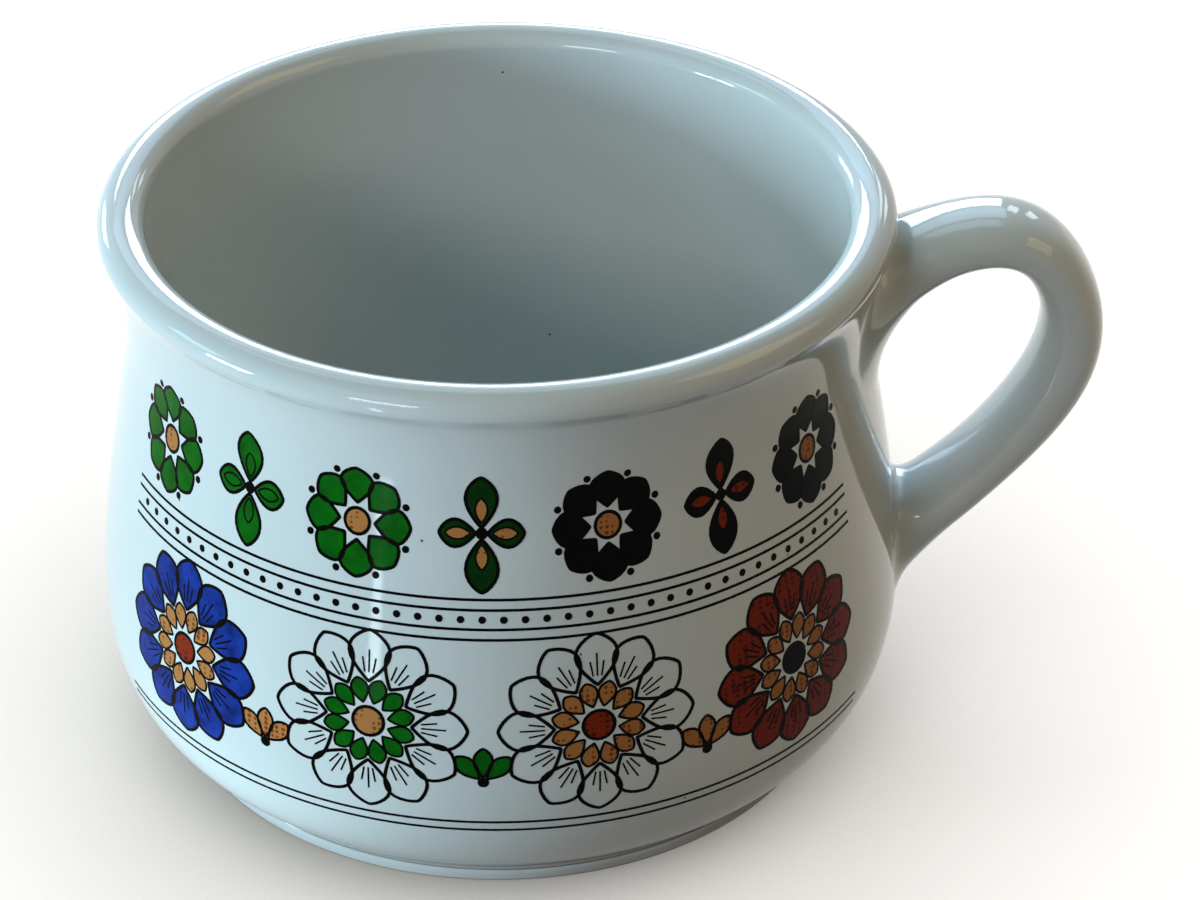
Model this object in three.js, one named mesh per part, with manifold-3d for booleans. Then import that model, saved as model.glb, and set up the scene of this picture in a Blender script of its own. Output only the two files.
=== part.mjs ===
// A soup mug of glazed stoneware: a wide, low bowl with a rolled lip and a foot ring, and a
// strap handle that was cast apart and stuck to the wall with slip at its two roots.
// Millimetres, +Z up. The origin is on the table, midway along the mug and its handle.
import * as THREE from 'three';
import { mergeVertices } from 'three/addons/utils/BufferGeometryUtils.js';
import Module from 'manifold-3d';

const wasm = await Module();
wasm.setup();

// The bowl's outside, from the lip down
const mugHeight = 84;
const rimRadius = 56; // to the outside of the rolled lip
const lipReach = 3.3; // half the roll's width
const lipRise = 2.6; // half its height
const lipUnderHook = 3; // how far the roll's curve carries on into the hollow under it
const hollowHook = 8; // how straight the neck starts below that hollow
const neckInset = 3; // from the rim's outside in to the narrowest place
const neckDrop = 17.5; // from the top of the lip down to it
const bellySwell = 5.7; // from the neck out to the widest place
const bellyHeight = 22.7;
const heelInset = 9.3; // from the belly in to where it ends above the foot
const heelLift = 0.8; // from the top of the foot up to the heel
const neckTangentShare = 0.15; // of the way from neck to belly
const bellyTangentShare = 0.33;
const heelSlope = THREE.MathUtils.degToRad(31); // how steeply the wall leaves the heel
const heelHook = 6.2; // how far it keeps that slope
const bellyHook = 10.7; // how far below its widest place the belly stays upright

// The foot ring under it
const footInset = 0.4; // from the heel in to the ring's outside
const footHeight = 2.6;
const footRingWidth = 5;
const footEdge = 0.6; // rounding of the ring's two edges
const baseRecess = 1.4;

// The bowl's inside
const wallThickness = 4;
const lipInnerHook = 3;
const throatHook = 7;
const floorThickness = 6;
const floorDish = 0.6; // how much lower the middle of the floor is than its edge
const cornerWidth = 16.7; // from the inside of the belly in to the floor's edge
const cornerDrop = 10.5; // how far the belly's wall runs on into the round corner
const cornerReach = 14; // how far the floor runs on into it

// The handle: a strap whose middle line runs from the neck out and back to the belly
const handleSpan = 30.2; // from the rim's outside to the back of the handle
const handleTopDrop = 6.3; // from the top of the lip to the middle line's highest place
const handleFootHeight = 24.9; // the middle line's lowest place, inside the belly's wall
const handleWidth = 15.5;
const gripThickness = 9.6; // at the back of the handle, where the hand closes round it
const handleOutShares = [-0.11, 0.34, 0.655, 0.855, 1, 0.95, 0.635, 0.255, -0.255];
const handleRiseShares = [0.84, 0.973, 1, 0.943, 0.784, 0.579, 0.348, 0.176, 0];
const thicknessShares = [1.06, 0.74, 1, 0.82, 1.1]; // of the grip's, evenly along the strap
const strapSquareness = 2.3; // 2 is an oval section, more is squarer
const upperRootWidth = 27;
const upperRootThickness = 18;
const upperSideFlare = 17; // how far from its end the strap starts to widen
const upperDeepFlare = 9; // and to thicken
const lowerRootWidth = 20;
const lowerRootThickness = 14.5;
const lowerSideFlare = 15;
const lowerDeepFlare = 15;
const rootDepth = 11; // how far the strap is drawn on past its ends before it is cut to the wall

// The slip that holds the handle
const seatGap = 0.3; // between two pieces that touch
const slipThickness = 0.8;
const slipBead = 0.7; // how far the slip squeezes out round the root

// How finely the round forms are drawn
const bowlSegments = 72;
const bellySteps = 8;
const shoulderSteps = 7;
const hollowSteps = 5;
const rollSteps = 7;
const throatSteps = 4;
const strapSteps = 40;
const strapSides = 20;
const rollStart = THREE.MathUtils.degToRad(-30);
const rollEnd = Math.PI;

const glaze = new THREE.MeshStandardMaterial({ color: '#e3e8e7', roughness: 0.12, metalness: 0 });
const handleGlaze = new THREE.MeshStandardMaterial({ color: '#dfe4e2', roughness: 0.12, metalness: 0 });
const slipGlaze = new THREE.MeshStandardMaterial({ color: '#d8dcd8', roughness: 0.2, metalness: 0 });

// Profiles are drawn with x as the radius and y as the height.
const point = (radius, height) => new THREE.Vector2(radius, height);
const between = THREE.MathUtils.lerp;
const neckRadius = rimRadius - neckInset;
const neckHeight = mugHeight - neckDrop;
const bellyRadius = neckRadius + bellySwell;
const footRadius = bellyRadius - heelInset - footInset;
const rollCentre = point(rimRadius - lipReach, mugHeight - lipRise);

// The lip's section is an ellipse.
function onRoll(angle) {
  return point(lipReach * Math.cos(angle), lipRise * Math.sin(angle)).add(rollCentre);
}

function alongRoll(angle, length) {
  return point(-lipReach * Math.sin(angle), lipRise * Math.cos(angle)).setLength(length);
}

// The outside of the wall from the heel up to the outer side of the roll
function outerWall() {
  const heel = point(bellyRadius - heelInset, footHeight + heelLift);
  const belly = point(bellyRadius, bellyHeight);
  const neck = point(neckRadius, neckHeight);
  const underRoll = onRoll(rollStart);
  const rise = neckHeight - bellyHeight;
  const lowerBelly = new THREE.CubicBezierCurve(
    heel,
    point(heelHook * Math.cos(heelSlope), heelHook * Math.sin(heelSlope)).add(heel),
    point(bellyRadius, belly.y - bellyHook),
    belly,
  );
  const shoulder = new THREE.CubicBezierCurve(
    belly,
    point(bellyRadius, belly.y + rise * bellyTangentShare),
    point(neckRadius, neck.y - rise * neckTangentShare),
    neck,
  );
  const hollow = new THREE.CubicBezierCurve(
    neck,
    point(neckRadius, neck.y + hollowHook),
    underRoll.clone().sub(alongRoll(rollStart, lipUnderHook)),
    underRoll,
  );
  return [
    ...lowerBelly.getPoints(bellySteps),
    ...shoulder.getPoints(shoulderSteps).slice(1),
    ...hollow.getPoints(hollowSteps).slice(1),
  ];
}

function roll(from, to, steps) {
  return Array.from({ length: steps }, (_, i) => onRoll(between(from, to, (i + 1) / steps)));
}

// The inside of the bowl, from the roll down to the middle of the floor
function innerWall() {
  const lipInside = onRoll(rollEnd);
  const throat = point(neckRadius - wallThickness, neckHeight);
  const belly = point(bellyRadius - wallThickness, bellyHeight);
  const floorEdge = point(belly.x - cornerWidth, floorThickness + floorDish);
  const fall = neckHeight - bellyHeight;
  const mouth = new THREE.CubicBezierCurve(
    lipInside,
    lipInside.clone().add(alongRoll(rollEnd, lipInnerHook)),
    point(throat.x, throat.y + throatHook),
    throat,
  );
  const side = new THREE.CubicBezierCurve(
    throat,
    point(throat.x, throat.y - fall * neckTangentShare),
    point(belly.x, belly.y + fall * bellyTangentShare),
    belly,
  );
  const corner = new THREE.CubicBezierCurve(
    belly,
    point(belly.x, belly.y - cornerDrop),
    point(floorEdge.x + cornerReach, floorEdge.y),
    floorEdge,
  );
  return [
    ...mouth.getPoints(throatSteps).slice(1),
    ...side.getPoints(shoulderSteps).slice(1),
    ...corner.getPoints(bellySteps).slice(1),
    point(0, floorThickness),
  ];
}

// The underside: a shallow recess inside the foot ring, then the ring and the cove above it
function underside() {
  const ringInside = footRadius - footRingWidth;
  return [
    point(0, baseRecess),
    point(ringInside - footEdge, baseRecess),
    point(ringInside, baseRecess - footEdge),
    point(ringInside, footEdge),
    point(ringInside + footEdge, 0),
    point(footRadius - footEdge, 0),
    point(footRadius, footEdge),
    point(footRadius, footHeight),
  ];
}

function revolve(profile) {
  return new THREE.LatheGeometry(profile, bowlSegments).rotateX(Math.PI / 2);
}

function bowlGeometry() {
  return revolve([
    ...underside(),
    ...outerWall(),
    ...roll(rollStart, rollEnd, rollSteps),
    ...innerWall(),
  ]);
}

// The wall's outside moved out by a distance, each facet staying parallel to the bowl's own
function swollenWall(distance) {
  const outline = [...outerWall(), ...roll(rollStart, Math.PI / 2, rollSteps)];
  const moved = outline.map((place, i) => {
    const before = outline[Math.max(i - 1, 0)];
    const after = outline[Math.min(i + 1, outline.length - 1)];
    const normals = [[before, place], [place, after]]
      .filter(([from, to]) => from !== to)
      .map(([from, to]) => point(to.y - from.y, from.x - to.x).normalize());
    const middle = normals.reduce((sum, normal) => sum.add(normal), point(0, 0)).normalize();
    return place.clone().addScaledVector(middle, distance / middle.dot(normals[0]));
  });
  const bottom = moved[0].y;
  const top = moved[moved.length - 1].y;
  return solidOf(revolve([point(0, bottom), ...moved, point(0, top)]));
}

// The strap's middle line, in the plane y = 0. Its shares run out from a line up the wall, from
// belly to neck, to the back of the handle, and up from its lowest place to its highest.
function strapLine() {
  const topHeight = mugHeight - handleTopDrop;
  const reach = rimRadius + handleSpan - gripThickness / 2;
  const places = handleOutShares.map((out, i) => {
    const rise = handleRiseShares[i];
    const wall = between(bellyRadius, neckRadius, rise);
    return new THREE.Vector3(between(wall, reach, out), 0, between(handleFootHeight, topHeight, rise));
  });
  return new THREE.CatmullRomCurve3(places, false, 'centripetal');
}

// A flare is 1 at the wall and fades to nothing at its full length.
const flare = (distance, length) => Math.max(1 - Math.max(distance, 0) / length, 0) ** 2;

// The value of a row of even shares at a place from 0 to 1 along it, eased from each to the next
function smoothShare(shares, place) {
  const scaled = place * (shares.length - 1);
  const first = Math.min(Math.floor(scaled), shares.length - 2);
  return between(shares[first], shares[first + 1], THREE.MathUtils.smoothstep(scaled - first, 0, 1));
}

// Every ring of the strap, from inside the neck to inside the belly, grown by an extra margin
function strapRings(extra) {
  const line = strapLine();
  const total = line.getLength();
  const stations = Array.from({ length: strapSteps + 1 }, (_, i) => i / strapSteps);
  const rings = stations.map((station) => {
    const fromTop = station * total;
    const fromFoot = (1 - station) * total;
    const width = handleWidth
      + flare(fromTop, upperSideFlare) * (upperRootWidth - handleWidth)
      + flare(fromFoot, lowerSideFlare) * (lowerRootWidth - handleWidth);
    const plain = gripThickness * smoothShare(thicknessShares, station);
    const thickness = plain
      + flare(fromTop, upperDeepFlare) * (upperRootThickness - plain)
      + flare(fromFoot, lowerDeepFlare) * (lowerRootThickness - plain);
    const along = line.getTangentAt(station);
    const across = new THREE.Vector3(along.z, 0, -along.x);
    return strapRing(line.getPointAt(station), across, width / 2 + extra, thickness / 2 + extra);
  });
  const drawn = (ring, station, distance) => {
    const shift = line.getTangentAt(station).multiplyScalar(distance);
    return ring.map((corner) => corner.clone().add(shift));
  };
  rings.unshift(drawn(rings[0], 0, -rootDepth));
  rings.push(drawn(rings[rings.length - 1], 1, rootDepth));
  return rings;
}

function strapRing(centre, across, halfWidth, halfThickness) {
  const squared = (value) => Math.sign(value) * Math.abs(value) ** (2 / strapSquareness);
  return Array.from({ length: strapSides }, (_, i) => {
    const angle = (i / strapSides) * 2 * Math.PI;
    const corner = centre.clone().addScaledVector(across, halfThickness * squared(Math.cos(angle)));
    corner.y += halfWidth * squared(Math.sin(angle));
    return corner;
  });
}

// Rings of corners joined side by side, with a flat fan over each end
function loft(rings) {
  const sides = rings[0].length;
  const corners = rings.flat();
  const faces = [];
  for (let ring = 0; ring < rings.length - 1; ring += 1) {
    for (let side = 0; side < sides; side += 1) {
      const next = (side + 1) % sides;
      const here = ring * sides;
      const there = here + sides;
      faces.push(here + side, here + next, there + next);
      faces.push(here + side, there + next, there + side);
    }
  }
  [rings[0], rings[rings.length - 1]].forEach((ring, end) => {
    const middle = ring.reduce((sum, corner) => sum.add(corner), new THREE.Vector3());
    corners.push(middle.divideScalar(sides));
    const first = end * (rings.length - 1) * sides;
    for (let side = 0; side < sides; side += 1) {
      const next = (side + 1) % sides;
      const edge = end ? [first + side, first + next] : [first + next, first + side];
      faces.push(corners.length - 1, ...edge);
    }
  });
  const geometry = new THREE.BufferGeometry().setFromPoints(corners);
  geometry.setIndex(faces);
  return geometry;
}

function solidOf(geometry) {
  const bare = geometry.clone();
  bare.deleteAttribute('normal');
  bare.deleteAttribute('uv');
  const merged = mergeVertices(bare);
  const triVerts = [];
  for (let i = 0; i < merged.index.count; i += 3) {
    const [a, b, c] = [0, 1, 2].map((corner) => merged.index.getX(i + corner));
    if (a !== b && b !== c && c !== a) triVerts.push(a, b, c);
  }
  const vertProperties = merged.attributes.position.array;
  return new wasm.Manifold(
    new wasm.Mesh({ numProp: 3, vertProperties, triVerts: Uint32Array.from(triVerts) }),
  );
}

function geometryOf(solid) {
  const mesh = solid.getMesh();
  const geometry = new THREE.BufferGeometry();
  geometry.setAttribute('position', new THREE.BufferAttribute(Float32Array.from(mesh.vertProperties), 3));
  geometry.setIndex(new THREE.BufferAttribute(Uint32Array.from(mesh.triVerts), 1));
  geometry.computeVertexNormals();
  return geometry;
}

function named(name, geometry, material) {
  const mesh = new THREE.Mesh(geometry, material);
  mesh.name = name;
  return mesh;
}

// The strap ends clear of the wall by the slip and a gap on either side of it.
function handleGeometry() {
  const clearance = seatGap + slipThickness + seatGap;
  return geometryOf(solidOf(loft(strapRings(0))).subtract(swollenWall(clearance)));
}

// A layer that follows the wall and stands out a little all round the root that it holds
function slipGeometry(rootRings) {
  const layer = swollenWall(seatGap + slipThickness).subtract(swollenWall(seatGap));
  return geometryOf(solidOf(loft(rootRings)).intersect(layer));
}

const slipRings = strapRings(slipBead);
const middle = Math.floor(slipRings.length / 2);

const mug = new THREE.Group();
mug.add(named('mug_body', bowlGeometry(), glaze));
mug.add(named('handle', handleGeometry(), handleGlaze));
mug.add(named('upper_slip_joint', slipGeometry(slipRings.slice(0, middle)), slipGlaze));
mug.add(named('lower_slip_joint', slipGeometry(slipRings.slice(middle)), slipGlaze));

const box = new THREE.Box3().setFromObject(mug);
mug.position.x = -(box.min.x + box.max.x) / 2;

export default mug;
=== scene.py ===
import math

import bmesh
import bpy
import numpy as np
from mathutils import Matrix, Vector
from mathutils.geometry import delaunay_2d_cdt


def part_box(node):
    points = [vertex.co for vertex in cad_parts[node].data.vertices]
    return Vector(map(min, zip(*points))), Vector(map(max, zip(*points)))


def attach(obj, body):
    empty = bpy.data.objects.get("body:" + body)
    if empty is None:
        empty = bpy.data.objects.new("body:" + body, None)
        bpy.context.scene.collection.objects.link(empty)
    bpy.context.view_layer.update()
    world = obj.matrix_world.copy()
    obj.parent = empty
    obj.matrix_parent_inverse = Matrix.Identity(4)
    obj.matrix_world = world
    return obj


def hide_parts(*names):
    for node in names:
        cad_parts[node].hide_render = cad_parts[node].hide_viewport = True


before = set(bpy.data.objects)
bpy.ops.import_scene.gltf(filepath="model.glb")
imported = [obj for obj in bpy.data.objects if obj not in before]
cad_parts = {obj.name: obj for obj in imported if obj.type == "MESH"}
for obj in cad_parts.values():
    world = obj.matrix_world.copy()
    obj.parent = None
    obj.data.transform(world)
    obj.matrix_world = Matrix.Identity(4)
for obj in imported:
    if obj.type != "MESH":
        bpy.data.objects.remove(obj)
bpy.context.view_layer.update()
mm = 0.001
bodyLow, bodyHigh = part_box("mug_body")
bowlX = (bodyLow.x + bodyHigh.x) / 2 / mm  # the bowl's own axis, in mm


# Small helpers

def linear(hexColour):  # sRGB hex to linear RGBA
    parts = [int(hexColour[i:i + 2], 16) / 255 for i in (1, 3, 5)]
    return [c / 12.92 if c <= 0.04045 else ((c + 0.055) / 1.055) ** 2.4 for c in parts] + [1]


def addNode(tree, kind, settings=None, inputs=None):  # inputs are values, sockets or whole nodes
    node = tree.nodes.new(kind)
    for name, value in (settings or {}).items():
        setattr(node, name, value)
    for socket, value in (inputs or {}).items():
        if isinstance(value, bpy.types.Node):
            value = value.outputs[0]
        if isinstance(value, bpy.types.NodeSocket):
            tree.links.new(value, node.inputs[socket])
        else:
            node.inputs[socket].default_value = value
    return node


def bezier(controls, steps):  # points along a Bezier curve of any degree
    controls = np.array(controls, float)
    points = []
    for t in np.linspace(0, 1, steps + 1):
        level = controls
        while len(level) > 1:
            level = level[:-1] * (1 - t) + level[1:] * t
        points.append(level[0])
    return np.array(points)


def addObject(name, data):
    made = bpy.data.objects.new(name, data)
    bpy.context.scene.collection.objects.link(made)
    return made


def meshObject(name, points, faces):
    mesh = bpy.data.meshes.new(name)
    mesh.from_pydata([tuple(p) for p in points], [], [tuple(f) for f in faces])
    mesh.validate()
    return addObject(name, mesh)


def outwards(mesh):  # merges doubles, then turns every face out
    work = bmesh.new()
    work.from_mesh(mesh)
    bmesh.ops.remove_doubles(work, verts=work.verts, dist=bowl["doubles"] * mm)
    bmesh.ops.recalc_face_normals(work, faces=work.faces)
    work.to_mesh(mesh)
    work.free()


def smoothShaded(mesh):
    mesh.polygons.foreach_set("use_smooth", [True] * len(mesh.polygons))


def nodeModifier(piece, tree, values):  # inputs are set by the sockets' identifiers
    modifier = piece.modifiers.new(tree.name, "NODES")
    modifier.node_group = tree
    for item in tree.interface.items_tree:
        if item.item_type == "SOCKET" and item.in_out == "INPUT" and item.name in values:
            modifier[item.identifier] = values[item.name]


def plainMesh(piece, name):  # the evaluated object as a mesh with no modifiers left
    bpy.context.view_layer.update()
    depsgraph = bpy.context.evaluated_depsgraph_get()
    mesh = bpy.data.meshes.new_from_object(piece.evaluated_get(depsgraph))
    mesh.name = name
    source = piece.data
    bpy.data.objects.remove(piece)
    if source and source.users == 0:
        bpy.data.meshes.remove(source)
    return mesh


def geometryTree(name, sockets):  # a Geometry Nodes tree with named inputs
    tree = bpy.data.node_groups.new(name, "GeometryNodeTree")
    tree.interface.new_socket("Geometry", in_out="INPUT", socket_type="NodeSocketGeometry")
    for label, kind in sockets.items():
        tree.interface.new_socket(label, in_out="INPUT", socket_type=kind)
    tree.interface.new_socket("Geometry", in_out="OUTPUT", socket_type="NodeSocketGeometry")
    return tree, addNode(tree, "NodeGroupInput"), addNode(tree, "NodeGroupOutput")


# The camera, in mm: from the middle of the rim, back and up along the photograph's line of sight
view = {
    "lens": 108,
    "sensor": 36,
    "place": (0.70, -443.59, 325.02),
    "elevation": 32.64,  # degrees above the horizon
    "roll": 0.31,
    "clip": (0.01, 20),  # metres
}


def makeCamera():
    data = bpy.data.cameras.new("camera")
    data.lens = view["lens"]
    data.sensor_width = view["sensor"]
    data.clip_start, data.clip_end = view["clip"]
    camera = addObject("camera", data)
    tilt = Matrix.Rotation(math.radians(90 - view["elevation"]), 4, "X")
    roll = Matrix.Rotation(math.radians(view["roll"]), 4, "Z")
    camera.matrix_world = Matrix.Translation(Vector(view["place"]) * mm) @ tilt @ roll
    bpy.context.scene.camera = camera


# The bowl: its profile in mm, as (radius, height)
bowl = {
    "height": 84,
    "rimRadius": 56,
    "lipReach": 3.3,  # half the rolled lip's width
    "lipRise": 2.6,  # half its height
    "lipUnderHook": 3,
    "hollowHook": 8,
    "neckInset": 3,
    "neckDrop": 17.5,
    "bellySwell": 5.7,
    "bellyHeight": 22.7,
    "heelInset": 9.3,
    "heelLift": 0.8,
    "neckTangentShare": 0.15,
    "bellyTangentShare": 0.33,
    "heelSlope": 31,  # degrees
    "heelHook": 6.2,
    "bellyHook": 10.7,
    "footInset": 0.4,
    "footHeight": 2.6,
    "footRise": 1.5,  # how far up the foot's side stays upright
    "grooveDepth": 0.5,  # of the soft groove between foot and belly
    "grooveHeight": 2.3,
    "footRingWidth": 5,
    "footEdge": 0.6,
    "baseRecess": 1.4,
    "wallThickness": 4,
    "lipInnerHook": 3,
    "throatHook": 7,
    "floorThickness": 6,
    "floorDish": 0.6,
    "cornerWidth": 16.7,
    "cornerDrop": 10.5,
    "cornerReach": 14,
    "rollStart": -30,
    "rollEnd": 180,
    "skin": 0.06,  # how far inside the CAD wall it is drawn, which leaves room for the print
    "columns": 256,
    "doubles": 0.0005,  # points closer than this are merged
    "cornerRadius": 0.5,  # of the small inner and outer corners round the foot
    "cornerSteps": 5,
    "bareHeight": 0.3,  # the foot ring is wiped clean of glaze up to here
    # steps along each run of the profile
    "outerSteps": {"lower": 30, "shoulder": 44, "hollow": 20, "lip": 24},
    "innerSteps": {"lip": 12, "mouth": 20, "side": 34, "corner": 22, "floor": 14},
}
b = bowl
neckRadius = b["rimRadius"] - b["neckInset"]
neckHeight = b["height"] - b["neckDrop"]
bellyRadius = neckRadius + b["bellySwell"]
heelRadius = bellyRadius - b["heelInset"]
heelHeight = b["footHeight"] + b["heelLift"]
footRadius = heelRadius - b["footInset"]
rollCentre = np.array([b["rimRadius"] - b["lipReach"], b["height"] - b["lipRise"]])


def onRoll(degrees):  # the lip's section is an ellipse
    angle = math.radians(degrees)
    return rollCentre + np.array([b["lipReach"] * math.cos(angle), b["lipRise"] * math.sin(angle)])


def alongRoll(degrees, length):
    angle = math.radians(degrees)
    along = np.array([-b["lipReach"] * math.sin(angle), b["lipRise"] * math.cos(angle)])
    return along / np.linalg.norm(along) * length


def rollArc(start, end, steps):
    return np.array([onRoll(a) for a in np.linspace(start, end, steps + 1)])


def outerWall():  # from the heel up to the top of the rolled lip
    steps = b["outerSteps"]
    rise = neckHeight - b["bellyHeight"]
    slope = math.radians(b["heelSlope"])
    heelControl = (
        heelRadius + b["heelHook"] * math.cos(slope),
        heelHeight + b["heelHook"] * math.sin(slope),
    )
    belly = (bellyRadius, b["bellyHeight"])
    neck = (neckRadius, neckHeight)
    underRoll = onRoll(b["rollStart"])
    hook = underRoll - alongRoll(b["rollStart"], b["lipUnderHook"])
    lower = bezier([
        (heelRadius, heelHeight),
        heelControl,
        (bellyRadius, b["bellyHeight"] - b["bellyHook"]),
        belly,
    ], steps["lower"])
    shoulder = bezier([
        belly,
        (bellyRadius, b["bellyHeight"] + rise * b["bellyTangentShare"]),
        (neckRadius, neckHeight - rise * b["neckTangentShare"]),
        neck,
    ], steps["shoulder"])
    hollow = bezier([
        neck,
        (neckRadius, neckHeight + b["hollowHook"]),
        hook,
        underRoll,
    ], steps["hollow"])
    lip = rollArc(b["rollStart"], 90, steps["lip"])
    return np.vstack([lower, shoulder[1:], hollow[1:], lip[1:]])


def innerWall():  # from the top of the lip down to the middle of the floor
    steps = b["innerSteps"]
    lipInside = onRoll(b["rollEnd"])
    throat = (neckRadius - b["wallThickness"], neckHeight)
    belly = (bellyRadius - b["wallThickness"], b["bellyHeight"])
    edge = (belly[0] - b["cornerWidth"], b["floorThickness"] + b["floorDish"])
    fall = neckHeight - b["bellyHeight"]
    mouth = bezier([
        lipInside,
        lipInside + alongRoll(b["rollEnd"], b["lipInnerHook"]),
        (throat[0], neckHeight + b["throatHook"]),
        throat,
    ], steps["mouth"])
    side = bezier([
        throat,
        (throat[0], neckHeight - fall * b["neckTangentShare"]),
        (belly[0], b["bellyHeight"] + fall * b["bellyTangentShare"]),
        belly,
    ], steps["side"])
    corner = bezier([
        belly,
        (belly[0], b["bellyHeight"] - b["cornerDrop"]),
        (edge[0] + b["cornerReach"], edge[1]),
        edge,
    ], steps["corner"])
    floor = bezier([
        edge,
        (edge[0] * 0.5, b["floorThickness"]),
        (0, b["floorThickness"]),
    ], steps["floor"])
    lip = rollArc(90, b["rollEnd"], steps["lip"])
    return np.vstack([run[1:] for run in (lip, mouth, side, corner, floor)])


def softened(corners, radius, steps):  # a run of corners with each inner one rounded
    corners = [np.array(c, float) for c in corners]
    points = [corners[0]]
    for before, here, after in zip(corners, corners[1:], corners[2:]):
        start = here + (before - here) / np.linalg.norm(before - here) * radius
        end = here + (after - here) / np.linalg.norm(after - here) * radius
        points.extend(bezier([start, here, end], steps))
    points.append(corners[-1])
    return np.array(points)


def underside():  # the recess, the foot ring and the soft groove between it and the belly
    ringInside = footRadius - b["footRingWidth"]
    wall = outerWall()
    return softened([
        (0, b["baseRecess"]),
        (ringInside - b["footEdge"], b["baseRecess"]),
        (ringInside + b["footEdge"] * 0.5, 0),
        (footRadius, 0),
        (footRadius, b["footRise"]),
        (footRadius - b["grooveDepth"], b["grooveHeight"]),
        wall[0],
        wall[1],
    ], b["cornerRadius"], b["cornerSteps"])[:-1]


def bowlProfile():
    profile = np.vstack([underside(), outerWall()[2:], innerWall()])
    ahead = np.roll(profile, -1, axis=0)
    behind = np.roll(profile, 1, axis=0)
    along = ahead - behind
    along[0] = (1, 0)
    along[-1] = (-1, 0)
    inwards = np.column_stack([-along[:, 1], along[:, 0]])
    inwards /= np.linalg.norm(inwards, axis=1)[:, None]
    drawn = profile + inwards * b["skin"]
    drawn[[0, -1], 0] = 0
    drawn[:, 1] = np.where(profile[:, 1] < b["bareHeight"], profile[:, 1], drawn[:, 1])
    return drawn


def revolveTree():  # turns a profile of (radius, 0, height) points round an upright axis
    tree, given, result = geometryTree("revolved profile", {
        "Profile": "NodeSocketObject",
        "Points": "NodeSocketInt",
        "Columns": "NodeSocketInt",
        "Axis": "NodeSocketFloat",
        "Glaze": "NodeSocketMaterial",
        "Bare clay": "NodeSocketMaterial",
        "Bare height": "NodeSocketFloat",
    })
    profile = addNode(tree, "GeometryNodeObjectInfo", None, {"Object": given.outputs["Profile"]})
    rows = given.outputs["Points"]
    spans = given.outputs["Columns"]
    columns = addNode(tree, "ShaderNodeMath", {"operation": "ADD"}, {0: spans, 1: 1})
    grid = addNode(tree, "GeometryNodeMeshGrid", None, {"Vertices X": columns, "Vertices Y": rows})
    index = addNode(tree, "GeometryNodeInputIndex")
    row = addNode(tree, "ShaderNodeMath", {"operation": "MODULO"}, {0: index, 1: rows})
    passed = addNode(tree, "ShaderNodeMath", {"operation": "DIVIDE"}, {0: index, 1: rows})
    column = addNode(tree, "ShaderNodeMath", {"operation": "FLOOR"}, {0: passed})
    share = addNode(tree, "ShaderNodeMath", {"operation": "DIVIDE"}, {0: column, 1: spans})
    turn = addNode(tree, "ShaderNodeMath", {"operation": "MULTIPLY"}, {0: share, 1: math.tau})
    cosine = addNode(tree, "ShaderNodeMath", {"operation": "COSINE"}, {0: turn})
    sine = addNode(tree, "ShaderNodeMath", {"operation": "SINE"}, {0: turn})
    position = addNode(tree, "GeometryNodeInputPosition")
    sample = addNode(tree, "GeometryNodeSampleIndex", {"data_type": "FLOAT_VECTOR"}, {
        "Geometry": profile.outputs["Geometry"],
        "Value": position,
        "Index": row,
    })
    parts = addNode(tree, "ShaderNodeSeparateXYZ", None, {0: sample})
    across = addNode(tree, "ShaderNodeMath", {"operation": "MULTIPLY_ADD"}, {
        0: parts, 1: cosine, 2: given.outputs["Axis"],
    })
    deep = addNode(tree, "ShaderNodeMath", {"operation": "MULTIPLY"}, {0: parts, 1: sine})
    placed = addNode(tree, "ShaderNodeCombineXYZ", None, {0: across, 1: deep, 2: parts.outputs[2]})
    moved = addNode(tree, "GeometryNodeSetPosition", None, {"Geometry": grid, "Position": placed})
    closed = addNode(tree, "GeometryNodeMergeByDistance", None, {
        "Geometry": moved, "Distance": b["doubles"] * mm,
    })
    real = addNode(tree, "GeometryNodeRealizeInstances", None, {0: closed})
    glazed = addNode(tree, "GeometryNodeSetMaterial", None, {
        "Geometry": real, "Material": given.outputs["Glaze"],
    })
    height = addNode(tree, "ShaderNodeSeparateXYZ", None, {0: position}).outputs[2]
    low = addNode(tree, "FunctionNodeCompare", {"data_type": "FLOAT", "operation": "LESS_THAN"}, {
        0: height, 1: given.outputs["Bare height"],
    })
    bare = addNode(tree, "GeometryNodeSetMaterial", None, {
        "Geometry": glazed, "Selection": low, "Material": given.outputs["Bare clay"],
    })
    tree.links.new(bare.outputs[0], result.inputs[0])
    return tree


def makeBowl(glaze, clay):
    profile = bowlProfile()
    points = [(r * mm, 0, z * mm) for r, z in profile]
    outline = meshObject("profile", points, [])
    piece = meshObject("glazed_bowl", [], [])
    nodeModifier(piece, revolveTree(), {
        "Profile": outline,
        "Points": len(points),
        "Columns": b["columns"],
        "Axis": bowlX * mm,
        "Glaze": glaze,
        "Bare clay": clay,
        "Bare height": b["bareHeight"] * mm,
    })
    mesh = plainMesh(piece, "glazed_bowl")
    bpy.data.objects.remove(outline)
    outwards(mesh)
    smoothShaded(mesh)
    body = addObject("glazed_bowl", mesh)
    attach(body, "root")
    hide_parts("mug_body")
    return body


wallCurve = outerWall()


def wallRadius(height):  # the wall's outside at a height, as it is drawn
    return np.interp(height, wallCurve[:, 1], wallCurve[:, 0]) - b["skin"]


def wallNormal(point):  # at a point in mm beside the wall
    step = 0.05
    slope = (wallRadius(point[2] + step) - wallRadius(point[2] - step)) / (2 * step)
    out = np.array([point[0] - bowlX, point[1], 0.0])
    out /= np.linalg.norm(out)
    normal = out - np.array([0, 0, slope])
    return normal / np.linalg.norm(normal)


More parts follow.
